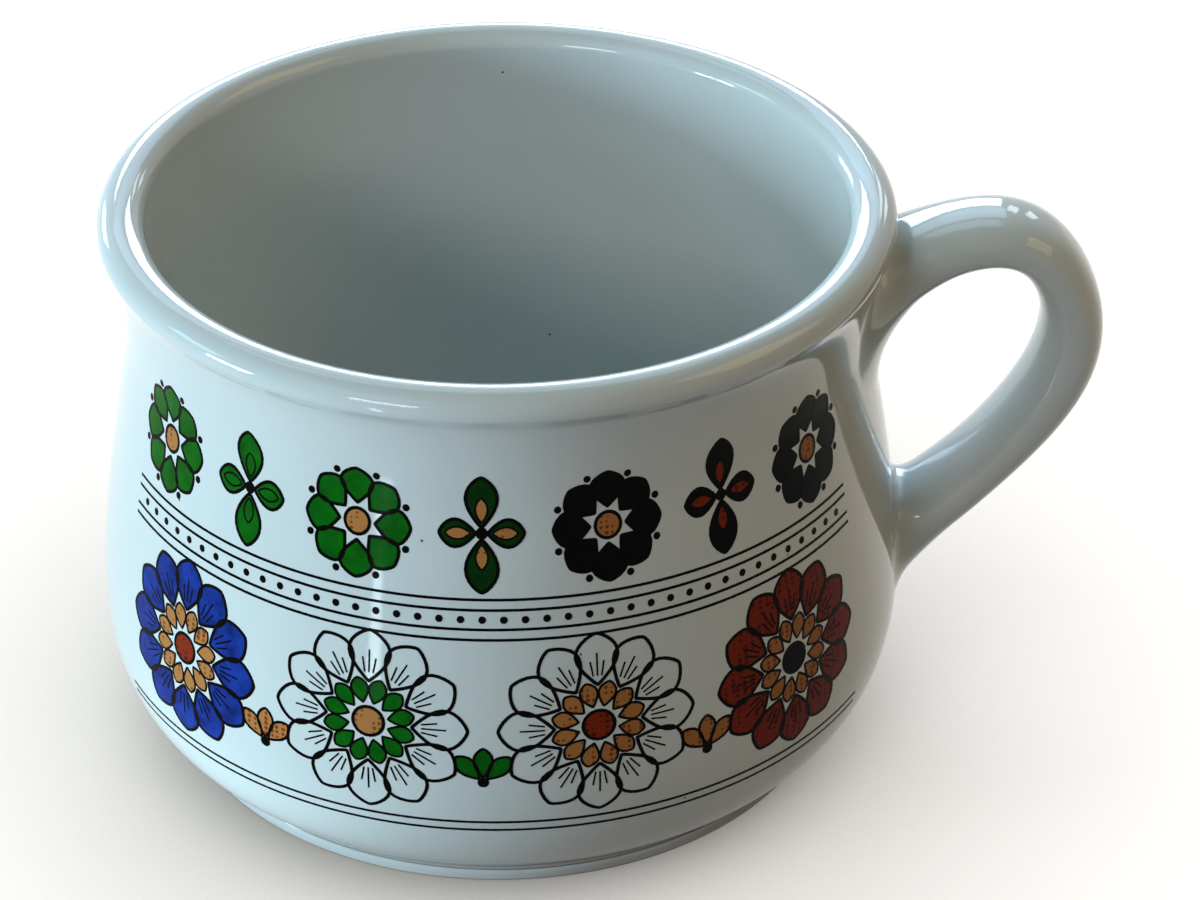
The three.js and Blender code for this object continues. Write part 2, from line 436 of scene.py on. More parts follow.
# The handle: a strap along a middle line, drawn out into the wall at its two roots
handle = {
    "span": 30.2,
    "topDrop": 6.3,
    "footHeight": 24.9,
    "outShares": [-0.11, 0.34, 0.655, 0.855, 1, 0.95, 0.635, 0.255, -0.255],
    "riseShares": [0.84, 0.973, 1, 0.943, 0.784, 0.579, 0.348, 0.176, 0],
    "width": 15.5,
    "thickness": 9.6,
    "thicknessShares": [1.06, 0.74, 1, 0.82, 1.1],
    "squareness": 2.3,
    "upperWidth": 27,
    "upperThickness": 14,
    "upperSideFlare": 17,
    "upperDeepFlare": 9,
    "lowerWidth": 20,
    "lowerThickness": 14.5,
    "lowerSideFlare": 15,
    "lowerDeepFlare": 15,
    "rootDepth": 11,
    "skin": 0.06,
    "easing": 0.045,  # how softly the thickness changes, as a share of the strap's length
    "stations": 180,
    "rootStations": 24,  # straight ones drawn on past each end
    "sides": 96,
    # the glaze's fillet on the outer face, the sides and the inner face of each root:
    # (back along the strap, out over the wall)
    "upperFillets": [(1.6, 0.9), (7.0, 5.0), (12.0, 9.0)],
    "lowerFillets": [(3.0, 2.6), (4.5, 4.0), (2.2, 2.2)],
    "filletSteps": 14,
    "sink": 0.03,  # how far inside the wall a fillet ends
    "tuck": 1.2,  # how far inside the wall the closing cap lies
}
h = handle


def splineThrough(places, count):  # a smooth curve through points, in even steps, and its length
    samples = 4000
    places = np.array(places, float)
    gaps = np.sqrt(np.linalg.norm(np.diff(places, axis=0), axis=1))
    knots = np.concatenate([[0], np.cumsum(gaps)])
    size = len(places)
    steps = np.diff(knots)
    system = np.zeros((size, size))
    right = np.zeros((size, places.shape[1]))
    system[0, 0] = system[-1, -1] = 1  # natural ends
    slopes = np.diff(places, axis=0) / steps[:, None]
    for i in range(1, size - 1):
        system[i, i - 1:i + 2] = steps[i - 1], 2 * (steps[i - 1] + steps[i]), steps[i]
        right[i] = 6 * (slopes[i] - slopes[i - 1])
    bend = np.linalg.solve(system, right)
    fine = np.linspace(0, knots[-1], samples)
    span = np.clip(np.searchsorted(knots, fine, side="right") - 1, 0, size - 2)
    wide = steps[span][:, None]
    left = (knots[span + 1] - fine)[:, None]
    done = (fine - knots[span])[:, None]
    line = (
        bend[span] * left ** 3 / (6 * wide)
        + bend[span + 1] * done ** 3 / (6 * wide)
        + (places[span] / wide - bend[span] * wide / 6) * left
        + (places[span + 1] / wide - bend[span + 1] * wide / 6) * done
    )
    run = np.concatenate([[0], np.cumsum(np.linalg.norm(np.diff(line, axis=0), axis=1))])
    even = np.linspace(0, run[-1], count)
    ways = [np.interp(even, run, line[:, k]) for k in range(line.shape[1])]
    return np.column_stack(ways), run[-1]


def easedShares(shares, stations):  # even shares along the strap, blended with no kinks
    margin = 0.2  # past each end
    step = 0.001
    reach = 3  # of the blending curve, in standard deviations
    even = np.linspace(0, 1, len(shares))
    fine = np.linspace(-margin, 1 + margin, round((1 + 2 * margin) / step) + 1)
    raw = np.interp(fine, even, shares)
    half = round(reach * h["easing"] / step)
    kernel = np.exp(-0.5 * np.linspace(-reach, reach, 2 * half + 1) ** 2)
    smooth = np.convolve(raw, kernel / kernel.sum(), mode="same")
    edge = half + 1
    smooth[:edge] = smooth[edge]
    smooth[-edge:] = smooth[-edge - 1]
    return np.interp(stations, fine, smooth)


def strapGrid():  # every point of the strap before it meets the wall, by station and side
    top = b["height"] - h["topDrop"]
    reach = b["rimRadius"] + h["span"] - h["thickness"] / 2
    places = []
    for out, rise in zip(h["outShares"], h["riseShares"]):
        wall = bellyRadius + (neckRadius - bellyRadius) * rise
        height = h["footHeight"] + (top - h["footHeight"]) * rise
        places.append((wall + (reach - wall) * out, height))
    count = h["stations"]
    line, total = splineThrough(places, count)
    share = np.linspace(0, 1, count)
    fromTop = share * total
    fromFoot = total - fromTop

    def flare(distance, length):
        return np.clip(1 - np.clip(distance, 0, None) / length, 0, None) ** 2

    plain = h["thickness"] * easedShares(h["thicknessShares"], share)
    width = (
        h["width"]
        + flare(fromTop, h["upperSideFlare"]) * (h["upperWidth"] - h["width"])
        + flare(fromFoot, h["lowerSideFlare"]) * (h["lowerWidth"] - h["width"])
    )
    thick = (
        plain
        + flare(fromTop, h["upperDeepFlare"]) * (h["upperThickness"] - plain)
        + flare(fromFoot, h["lowerDeepFlare"]) * (h["lowerThickness"] - plain)
    )
    along = np.gradient(line, axis=0)
    along /= np.linalg.norm(along, axis=1)[:, None]
    extra = h["rootStations"]
    ends = np.linspace(h["rootDepth"], 0, extra, endpoint=False)[:, None]
    line = np.vstack([line[0] - along[0] * ends, line, line[-1] + along[-1] * ends[::-1]])
    along = np.vstack([np.repeat(along[:1], extra, 0), along, np.repeat(along[-1:], extra, 0)])
    width = np.pad(width, extra, mode="edge")
    thick = np.pad(thick, extra, mode="edge")
    angle = np.linspace(0, math.tau, h["sides"], endpoint=False)
    power = 2 / h["squareness"]
    across = np.sign(np.cos(angle)) * np.abs(np.cos(angle)) ** power
    aside = np.sign(np.sin(angle)) * np.abs(np.sin(angle)) ** power
    deep = (thick / 2 - h["skin"])[:, None] * across
    grid = np.zeros((len(line), h["sides"], 3))
    grid[:, :, 0] = bowlX + line[:, :1] + along[:, 1:] * deep
    grid[:, :, 1] = (width / 2 - h["skin"])[:, None] * aside
    grid[:, :, 2] = line[:, 1:] - along[:, :1] * deep
    return grid, angle


def aboveWall(points):  # how far outside the wall points lie, level
    return np.hypot(points[..., 0] - bowlX, points[..., 1]) - wallRadius(points[..., 2])


def byAngle(angle, outer, side, inner):  # a value that turns smoothly round the strap
    c = math.cos(angle)
    s = math.sin(angle)
    return outer * max(-c, 0) ** 2 + side * s * s + inner * max(c, 0) ** 2


def rootRun(path, angle, fillets):  # one side's corner at the wall, and where its fillet ends
    gaps = aboveWall(path)
    last = int(np.argmax(gaps > 0))
    blend = gaps[last - 1] / (gaps[last - 1] - gaps[last])
    corner = path[last - 1] + (path[last] - path[last - 1]) * blend
    run = np.concatenate([[0], np.cumsum(np.linalg.norm(np.diff(path[last:], axis=0), axis=1))])
    run += np.linalg.norm(path[last] - corner)
    back = byAngle(angle, *[f[0] for f in fillets])
    start = np.array([np.interp(back, run, path[last:, k]) for k in range(3)])
    return corner, start, last + np.interp(back, run, np.arange(len(run)))


def sunkTo(point, depth):  # a point put that far inside the wall, level
    radius = math.hypot(point[0] - bowlX, point[1])
    scale = (wallRadius(point[2]) - depth) / radius
    return np.array([bowlX + (point[0] - bowlX) * scale, point[1] * scale, point[2]])


def rootRings(paths, angles, fillets):  # the fillet's rings, from the hidden cap out to the strap
    found = [rootRun(paths[:, j], angles[j], fillets) for j in range(len(angles))]
    middle = np.mean([corner for corner, _, _ in found], axis=0)
    rings = np.zeros((h["filletSteps"] + 3, len(angles), 3))
    for j, (corner, start, _) in enumerate(found):
        normal = wallNormal(corner)
        away = corner - middle
        away -= normal * (away @ normal)
        away /= np.linalg.norm(away)
        out = byAngle(angles[j], *[f[1] for f in fillets])
        end = sunkTo(corner + away * out, h["sink"])
        control = corner - normal * h["sink"]
        rings[2:, j] = bezier([end, control, start], h["filletSteps"])
        rings[1, j] = sunkTo(end, h["tuck"])
        rings[0, j] = sunkTo(middle + (end - middle) * 0.5, h["tuck"])
    return rings, [place for _, _, place in found]


def makeHandle(glaze):
    grid, angles = strapGrid()
    half = len(grid) // 2
    topRings, topEnds = rootRings(grid[:half], angles, h["upperFillets"])
    footRings, footEnds = rootRings(grid[::-1][:half], angles, h["lowerFillets"])
    count = h["stations"]
    strap = np.zeros((count, len(angles), 3))
    stationNumbers = np.arange(len(grid))
    for j in range(len(angles)):
        wanted = np.linspace(topEnds[j], len(grid) - 1 - footEnds[j], count)
        for k in range(3):
            strap[:, j, k] = np.interp(wanted, stationNumbers, grid[:, j, k])
    rings = np.concatenate([topRings, strap[1:-1], footRings[::-1]])
    sides = len(angles)
    points = list(rings.reshape(-1, 3))
    faces = []
    for ring in range(len(rings) - 1):
        for side in range(sides):
            after = (side + 1) % sides
            here = ring * sides
            there = here + sides
            faces.append((here + side, here + after, there + after, there + side))
    for first in (0, (len(rings) - 1) * sides):
        points.append(np.mean(rings[first // sides], axis=0))
        for side in range(sides):
            faces.append((first + side, first + (side + 1) % sides, len(points) - 1))
    piece = meshObject("glazed_handle", np.array(points) * mm, faces)
    outwards(piece.data)
    smoothShaded(piece.data)
    piece.data.materials.append(glaze)
    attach(piece, "root")
    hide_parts("handle", "upper_slip_joint", "lower_slip_joint")


# Materials

def newMaterial(name):
    material = bpy.data.materials.new(name)
    material.use_nodes = True
    material.node_tree.nodes.clear()
    return material, material.node_tree


whiteGlaze = {  # sizes in mm
    "tone": "#dcdfdc",
    "otherTone": "#d4d9d8",
    "mottleSize": 14,
    "speckSpacing": 7,
    "speckAbove": 0.72,  # only cells whose random value is above this hold a speck
    "speckFade": (0.035, 0.02),  # from its edge to where it is full, as shares of the spacing
    "speckColour": "#4a4038",
    # painted shade along the groove between foot and belly, in place of the groove's shadow: its
    # reach, strength and colour
    "grooveShadeReach": 0.9,  # up and down from the groove over the foot
    "grooveShadeStrength": 0.75,
    "grooveShadeColour": "#8d8c86",
    "rippleSize": 5,
    "rippleDepth": 0.05,
    "rippleStrength": 0.25,
    "roughness": 0.07,
    "ior": 1.42,
}


# tin-opacified white glaze on stoneware: a clear glassy skin over an even, faintly mottled white,
# with a few iron specks, and painted shade that greys it along the groove over the foot
def tinGlaze():
    g = whiteGlaze
    material, tree = newMaterial("tin_glaze_on_stoneware")
    place = addNode(tree, "ShaderNodeTexCoord").outputs["Object"]
    mottle = addNode(tree, "ShaderNodeTexNoise", None, {
        "Vector": place, "Scale": 1 / (g["mottleSize"] * mm), "Detail": 3, "Roughness": 0.5,
    })
    white = addNode(tree, "ShaderNodeMix", {"data_type": "RGBA"}, {
        "Factor": mottle, "A": linear(g["tone"]), "B": linear(g["otherTone"]),
    })
    cells = addNode(tree, "ShaderNodeTexVoronoi", None, {
        "Vector": place, "Scale": 1 / (g["speckSpacing"] * mm),
    })
    draw = addNode(tree, "ShaderNodeSeparateXYZ", None, {0: cells.outputs["Color"]})
    chosen = addNode(tree, "ShaderNodeMath", {"operation": "GREATER_THAN"}, {
        0: draw, 1: g["speckAbove"],
    })
    near = addNode(tree, "ShaderNodeMapRange", None, {
        "Value": cells.outputs["Distance"],
        "From Min": g["speckFade"][0],
        "From Max": g["speckFade"][1],
    })
    speck = addNode(tree, "ShaderNodeMath", {"operation": "MULTIPLY"}, {0: near, 1: chosen})
    specked = addNode(tree, "ShaderNodeMix", {"data_type": "RGBA"}, {
        "Factor": speck, "A": white.outputs["Result"], "B": linear(g["speckColour"]),
    })
    # painted shade: the white is greyed near the groove's height, standing in for the shadow that
    # falls in the groove
    height = addNode(tree, "ShaderNodeSeparateXYZ", None, {0: place}).outputs[2]
    fromGroove = addNode(tree, "ShaderNodeMath", {"operation": "SUBTRACT"}, {
        0: height, 1: b["grooveHeight"] * mm,
    })
    either = addNode(tree, "ShaderNodeMath", {"operation": "ABSOLUTE"}, {0: fromGroove})
    grooveShadeFalloff = addNode(tree, "ShaderNodeMapRange", {"interpolation_type": "SMOOTHSTEP"}, {
        "Value": either, "From Min": g["grooveShadeReach"] * mm, "From Max": 0,
    })
    grooveShadeAmount = addNode(tree, "ShaderNodeMath", {"operation": "MULTIPLY"}, {
        0: grooveShadeFalloff, 1: g["grooveShadeStrength"],
    })
    grooveShadedTone = addNode(tree, "ShaderNodeMix", {"data_type": "RGBA"}, {
        "Factor": grooveShadeAmount, "A": specked.outputs["Result"], "B": linear(g["grooveShadeColour"]),
    })
    ripple = addNode(tree, "ShaderNodeTexNoise", None, {
        "Vector": place, "Scale": 1 / (g["rippleSize"] * mm), "Detail": 1.5, "Roughness": 0.4,
    })
    bump = addNode(tree, "ShaderNodeBump", None, {
        "Strength": g["rippleStrength"], "Distance": g["rippleDepth"] * mm, "Height": ripple,
    })
    shader = addNode(tree, "ShaderNodeBsdfPrincipled", None, {
        "Base Color": grooveShadedTone.outputs["Result"],
        "Normal": bump,
        "Roughness": g["roughness"],
        "IOR": g["ior"],
    })
    addNode(tree, "ShaderNodeOutputMaterial", None, {"Surface": shader})
    return material


bareClay = {
    "tone": "#cdbfa8",
    "otherTone": "#b9a88f",
    "grainSize": 0.8,  # mm
    "grainDepth": 0.08,
    "grainStrength": 0.6,
    "roughness": 0.85,
}


def bareStoneware():  # fired clay where the foot was wiped: matt, warm buff, with a sandy grain
    c = bareClay
    material, tree = newMaterial("bare_fired_stoneware")
    place = addNode(tree, "ShaderNodeTexCoord").outputs["Object"]
    sand = addNode(tree, "ShaderNodeTexNoise", None, {
        "Vector": place, "Scale": 1 / (c["grainSize"] * mm), "Detail": 4, "Roughness": 0.6,
    })
    buff = addNode(tree, "ShaderNodeMix", {"data_type": "RGBA"}, {
        "Factor": sand, "A": linear(c["tone"]), "B": linear(c["otherTone"]),
    })
    bump = addNode(tree, "ShaderNodeBump", None, {
        "Strength": c["grainStrength"], "Distance": c["grainDepth"] * mm, "Height": sand,
    })
    shader = addNode(tree, "ShaderNodeBsdfPrincipled", None, {
        "Base Color": buff.outputs["Result"], "Normal": bump, "Roughness": c["roughness"],
    })
    addNode(tree, "ShaderNodeOutputMaterial", None, {"Surface": shader})
    return material


enamels = {  # material, two tones, and the spacing in mm of its half-tone dots, or 0 for none
    "green": ("green_chrome_enamel", "#07680f", "#04500a", 0),
    "darkGreen": ("dark_green_enamel", "#033808", "#022a06", 0),
    "black": ("black_cobalt_enamel", "#030303", "#060505", 0),
    "blue": ("blue_cobalt_enamel", "#1a3a98", "#0c2262", 0),
    "ochre": ("ochre_iron_enamel", "#bb7a44", "#86451c", 0.8),
    "rust": ("red_iron_enamel", "#8c2c14", "#561608", 0.9),
}
firedInk = {
    "cloudSize": 3,  # mm
    "cloudRange": (0.35, 0.7),
    "dotUnevenness": 0.15,
    "dotLeast": 0.15,  # the smallest dot's radius, and how much the largest adds, in spacings
    "dotGrowth": 0.35,
    "roughness": 0.16,
    "ior": 1.09,
}


# screen-printed ceramic ink, fired on: dense flat colour, a little less glassy than the glaze
def enamel(name, colour, other, halftone):
    k = firedInk
    material, tree = newMaterial(name)
    place = addNode(tree, "ShaderNodeTexCoord").outputs["Object"]
    cloud = addNode(tree, "ShaderNodeTexNoise", None, {
        "Vector": place, "Scale": 1 / (k["cloudSize"] * mm), "Detail": 2, "Roughness": 0.6,
    })
    amount = addNode(tree, "ShaderNodeMapRange", None, {
        "Value": cloud, "From Min": k["cloudRange"][0], "From Max": k["cloudRange"][1],
    })
    if halftone:
        dots = addNode(tree, "ShaderNodeTexVoronoi", None, {
            "Vector": place, "Scale": 1 / (halftone * mm), "Randomness": k["dotUnevenness"],
        })
        edge = addNode(tree, "ShaderNodeMath", {"operation": "MULTIPLY_ADD"}, {
            0: amount, 1: k["dotGrowth"], 2: k["dotLeast"],
        })
        amount = addNode(tree, "ShaderNodeMath", {"operation": "LESS_THAN"}, {
            0: dots.outputs["Distance"], 1: edge,
        })
    tone = addNode(tree, "ShaderNodeMix", {"data_type": "RGBA"}, {
        "Factor": amount, "A": linear(colour), "B": linear(other),
    })
    shader = addNode(tree, "ShaderNodeBsdfPrincipled", None, {
        "Base Color": tone.outputs["Result"], "Roughness": k["roughness"], "IOR": k["ior"],
    })
    addNode(tree, "ShaderNodeOutputMaterial", None, {"Surface": shader})
    return material


# The print: flat motifs in mm, each a stack of ink layers, wrapped on the bowl's front
frieze = {
    "middle": -91,  # degrees round the bowl from +X to the middle of the print
    "radius": 58,  # where the flat drawing keeps its true width
    "start": 80,  # rays are cast inwards from here
    "pitch": 1.3,  # between the points inside a flat area
    "line": 0.5,
    "thinLine": 0.4,
    "finerLine": 0.35,
    "finestLine": 0.3,
    "hatchLine": 0.25,
    # how high each ink film stands over the glaze, and how far it reaches into it
    "films": {"petals": 0.020, "inner": 0.026, "heart": 0.033, "lines": 0.041},
    "depth": 0.03,
    "upperPitch": 18.2,  # from one motif to the next
    "upperRow": 62.0,  # heights above the table
    "lowerPitch": 31.5,
    "lowerRow": 33.0,
    "budRow": 25.0,
    "dotPitch": 3,
    "dotRow": 49.6,
    "dotsEachSide": 20,
    "dot": (0.55, 10),  # radius, points
    "borderRows": (51.0, 46.7, 16.5),
    "borderReach": 63,  # to each side of the print's middle
    "borderGap": 1.5,
    "borderSteps": 84,
    "sharpEdge": 30,  # degrees
    # petals as (start, length, width, fullness, points on a side), discs as (radius, points)
    "rosettePetal": (2.7, 5.3, 5.0, 1.35, 14),
    "rosetteHeart": (1.9, 20),
    "rosetteDots": 7.9,  # how far from its middle
    "lozengeTall": (0.9, 7.6, 4.6, 1.2, 14),
    "lozengeWide": (0.9, 5.2, 4.0, 1.2, 14),
    "lozengeHeart": (1.6, 3.6, 1.8, 1.1, 9),
    "lozengeMiddle": (0.9, 14),
    "daisyOuter": (6.1, 7.6, 6.0, 1.3, 16),
    "daisyInner": (2.9, 3.7, 2.5, 1.3, 10),
    "daisyHeart": (2.2, 22),
    "hatchStart": 7.4,
    "hatches": ((-0.6, -0.975, 2.2), (0, 0, 3.4), (0.6, 0.975, 2.2)),  # side at each end, length
    "budPetal": (0.8, 4.6, 2.6, 1.3, 10),
    "budSpread": 42,  # degrees
    "budMiddle": (0.8, 12),
}
f = frieze


def turned(points, degrees):
    c, s = math.cos(math.radians(degrees)), math.sin(math.radians(degrees))
    return points @ np.array([(c, s), (-s, c)])


def disc(radius, count):
    angle = np.linspace(0, math.tau, count, endpoint=False)
    return radius * np.column_stack([np.cos(angle), np.sin(angle)])


def petal(start, length, width, fullness, count):  # a drop along +x, fattest towards its end
    bluntness = 0.7
    share = (1 - np.cos(np.linspace(0, math.pi, count))) / 2
    half = width / 2 * np.sin(math.pi * share ** fullness).clip(0) ** bluntness
    upper = np.column_stack([start + length * share, half])
    return np.vstack([upper, upper[-2:0:-1] * (1, -1)])


def ring(outline, width):  # a closed line drawn along an outline, as (points, quads)
    ahead = np.roll(outline, -1, axis=0) - outline
    behind = outline - np.roll(outline, 1, axis=0)
    ahead /= np.linalg.norm(ahead, axis=1)[:, None]
    behind /= np.linalg.norm(behind, axis=1)[:, None]
    across = ahead + behind
    across = np.column_stack([across[:, 1], -across[:, 0]])
    across /= np.linalg.norm(across, axis=1)[:, None]
    count = len(outline)
    points = np.vstack([outline + across * width / 2, outline - across * width / 2])
    quads = [(i, (i + 1) % count, (i + 1) % count + count, i + count) for i in range(count)]
    return points, quads


def stroke(start, end, width, steps):  # a straight line of short quads
    line = np.linspace(start, end, steps + 1)
    along = np.subtract(end, start) / np.linalg.norm(np.subtract(end, start))
    across = np.array([along[1], -along[0]]) * width / 2
    points = np.vstack([line + across, line - across])
    return points, [(i, i + 1, i + steps + 2, i + steps + 1) for i in range(steps)]


def filled(outline):  # a flat area as (points, triangles), with points inside so that it can bend
    pitch = f["pitch"]
    rowPitch = pitch * 0.866  # rows of even triangles
    clear = pitch * 0.45
    low, high = outline.min(0), outline.max(0)
    inside = []
    for i, y in enumerate(np.arange(low[1], high[1], rowPitch)):
        for x in np.arange(low[0] + (i % 2) * pitch / 2, high[0], pitch):
            if np.min(np.linalg.norm(outline - (x, y), axis=1)) > clear:
                inside.append((x, y))
    points = [Vector(p) for p in [*outline, *inside]]
    loop = list(range(len(outline)))
    keepInside, tolerance = 1, 1e-5
    made = delaunay_2d_cdt(points, [], [loop], keepInside, tolerance)
    return np.array([tuple(p) for p in made[0]]), [tuple(face) for face in made[2]]


def filmMesh(name, parts, height):  # flat parts given their top, bottom and edges
    work = bmesh.new()
    for points, faces in parts:
        verts = [work.verts.new((x * mm, y * mm, height * mm)) for x, y in points]
        for face in faces:
            work.faces.new([verts[i] for i in face])
    bmesh.ops.recalc_face_normals(work, faces=work.faces)
    for face in work.faces:
        if face.normal.z < 0:
            face.normal_flip()
    loose = [v for v in work.verts if not v.link_faces]
    bmesh.ops.delete(work, geom=loose, context="VERTS")
    tops = list(work.faces)
    topSet = set(tops)
    made = bmesh.ops.duplicate(work, geom=tops)
    twins = {v: made["vert_map"][v] for v in {v for face in tops for v in face.verts}}
    for twin in twins.values():
        twin.co.z = -f["depth"] * mm
    for face in [g for g in made["geom"] if isinstance(g, bmesh.types.BMFace)]:
        face.normal_flip()
    rims = [
        edge.link_loops[0] for edge in work.edges
        if len(edge.link_faces) == 1 and edge.link_faces[0] in topSet
    ]
    for loop in rims:
        first, second = loop.vert, loop.link_loop_next.vert
        work.faces.new([second, first, twins[first], twins[second]])
    mesh = bpy.data.meshes.new(name)
    work.to_mesh(mesh)
    work.free()
    return addObject(name, mesh)


def around(shape, count, shift=0):  # copies turned evenly round a motif's middle, shift in steps
    return [turned(shape, 360 / count * (i + shift)) for i in range(count)]


def areas(*outlines):
    return [filled(p) for p in outlines]


def drawn(width, *outlines):
    return [ring(p, width) for p in outlines]


def rosette():  # eight round petals about a button, with a dot between each two
    petals = around(petal(*f["rosettePetal"]), 8)
    heart = disc(*f["rosetteHeart"])
    spot = disc(*f["dot"]) + (f["rosetteDots"], 0)
    return {
        "petals": areas(*petals),
        "heart": areas(heart),
        "lines": drawn(f["line"], *petals, heart) + areas(*around(spot, 8, 0.5)),
    }


def lozenge():  # a four-pointed leaf shape on end, with a smaller one inside it
    tall, wide = petal(*f["lozengeTall"]), petal(*f["lozengeWide"])
    lobes = [turned(shape, 90 * (i + 1)) for i, shape in enumerate([tall, wide] * 2)]
    small = around(petal(*f["lozengeHeart"]), 4)
    lines = drawn(f["line"], *lobes) + drawn(f["finestLine"], *small)
    return {
        "petals": areas(*lobes),
        "heart": areas(*small),
        "lines": lines + areas(disc(*f["lozengeMiddle"])),
    }


def daisy():  # a large double flower with hatched petals
    count = 12
    outer = around(petal(*f["daisyOuter"]), count)
    inner = around(petal(*f["daisyInner"]), count, 0.5)
    heart = disc(*f["daisyHeart"])
    start = f["hatchStart"]
    hatches = []
    for near, far, length in f["hatches"]:
        points, quads = stroke((start, near), (start + length, far), f["hatchLine"], 2)
        hatches.extend((copy, quads) for copy in around(points, count))
    lines = drawn(f["line"], *outer) + drawn(f["finerLine"], *inner) + drawn(f["line"], heart)
    return {
        "petals": areas(*outer),
        "inner": areas(*inner),
        "heart": areas(heart),
        "lines": lines + hatches,
    }


def bud():  # three small petals over a dot, between the large flowers
    drop = petal(*f["budPetal"])
    drops = [turned(drop, 90 + f["budSpread"] * i) for i in (-1, 0, 1)]
    middle = areas(disc(*f["budMiddle"]))
    return {"petals": areas(*drops), "lines": drawn(f["thinLine"], *drops) + middle}


def dot():
    return {"lines": areas(disc(*f["dot"]))}


def border():  # two fine lines along the whole print
    reach, line, steps = f["borderReach"], f["thinLine"], f["borderSteps"]
    return {"lines": [stroke((-reach, y), (reach, y), line, steps) for y in (0, f["borderGap"])]}


def wrapTree():  # puts copies of a flat motif at given spots, then lays them on the bowl
    tree, given, result = geometryTree("print on the bowl", {
        "Motif": "NodeSocketObject",
        "Spots": "NodeSocketObject",
        "Bowl": "NodeSocketObject",
        "Axis": "NodeSocketFloat",
        "Middle": "NodeSocketFloat",
        "Radius": "NodeSocketFloat",
        "Start": "NodeSocketFloat",
        "Ink": "NodeSocketMaterial",
    })
    motif = addNode(tree, "GeometryNodeObjectInfo", None, {"Object": given.outputs["Motif"]})
    spots = addNode(tree, "GeometryNodeObjectInfo", None, {"Object": given.outputs["Spots"]})
    bowlInfo = addNode(tree, "GeometryNodeObjectInfo", None, {"Object": given.outputs["Bowl"]})
    copies = addNode(tree, "GeometryNodeInstanceOnPoints", None, {
        "Points": spots.outputs["Geometry"],
        "Instance": motif.outputs["Geometry"],
    })
    real = addNode(tree, "GeometryNodeRealizeInstances", None, {0: copies})
    position = addNode(tree, "GeometryNodeInputPosition")
    flat = addNode(tree, "ShaderNodeSeparateXYZ", None, {0: position})
    start = given.outputs["Start"]
    swing = addNode(tree, "ShaderNodeMath", {"operation": "DIVIDE"}, {
        0: flat, 1: given.outputs["Radius"],
    })
    angle = addNode(tree, "ShaderNodeMath", {"operation": "ADD"}, {
        0: given.outputs["Middle"], 1: swing,
    })
    cosine = addNode(tree, "ShaderNodeMath", {"operation": "COSINE"}, {0: angle})
    sine = addNode(tree, "ShaderNodeMath", {"operation": "SINE"}, {0: angle})
    across = addNode(tree, "ShaderNodeMath", {"operation": "MULTIPLY_ADD"}, {
        0: cosine, 1: start, 2: given.outputs["Axis"],
    })
    deep = addNode(tree, "ShaderNodeMath", {"operation": "MULTIPLY"}, {0: sine, 1: start})
    source = addNode(tree, "ShaderNodeCombineXYZ", None, {0: across, 1: deep, 2: flat.outputs[1]})
    outward = addNode(tree, "ShaderNodeCombineXYZ", None, {0: cosine, 1: sine})
    inward = addNode(tree, "ShaderNodeVectorMath", {"operation": "SCALE"}, {
        0: outward, "Scale": -1,
    })
    ray = addNode(tree, "GeometryNodeRaycast", None, {
        "Target Geometry": bowlInfo.outputs["Geometry"],
        "Source Position": source,
        "Ray Direction": inward,
        "Ray Length": start,
    })
    lift = addNode(tree, "ShaderNodeVectorMath", {"operation": "SCALE"}, {
        0: ray.outputs["Hit Normal"], "Scale": flat.outputs[2],
    })
    landed = addNode(tree, "ShaderNodeVectorMath", {"operation": "ADD"}, {
        0: ray.outputs["Hit Position"], 1: lift,
    })
    laid = addNode(tree, "GeometryNodeSetPosition", None, {"Geometry": real, "Position": landed})
    inked = addNode(tree, "GeometryNodeSetMaterial", None, {
        "Geometry": laid, "Material": given.outputs["Ink"],
    })
    tree.links.new(inked.outputs[0], result.inputs[0])
    return tree


def printRows():  # motif, the inks under its black lines, and spots as (along, height)
    upper, top = f["upperPitch"], f["upperRow"]
    lower, low = f["lowerPitch"], f["lowerRow"]
    dots = f["dotsEachSide"]
    rosettes = [(upper * i, top) for i in (-3, -1, 1, 3)]
    return [
        (rosette, ("green", "ochre"), rosettes[:2]),
        (rosette, ("black", "ochre"), rosettes[2:]),
        (lozenge, ("green", "white"), [(-2 * upper, top)]),
        (lozenge, ("darkGreen", "ochre"), [(0, top)]),
        (lozenge, ("black", "rust"), [(2 * upper, top)]),
        (daisy, ("blue", "ochre", "rust"), [(-1.5 * lower, low)]),
        (daisy, ("white", "green", "ochre"), [(-0.5 * lower, low)]),
        (daisy, ("white", "ochre", "rust"), [(0.5 * lower, low)]),
        (daisy, ("rust", "ochre", "black"), [(1.5 * lower, low)]),
        (bud, ("ochre",), [(-lower, f["budRow"]), (lower, f["budRow"])]),
        (bud, ("green",), [(0, f["budRow"])]),
        (dot, (), [(f["dotPitch"] * i, f["dotRow"]) for i in range(-dots, dots + 1)]),
        (border, (), [(0, height) for height in f["borderRows"]]),
    ]


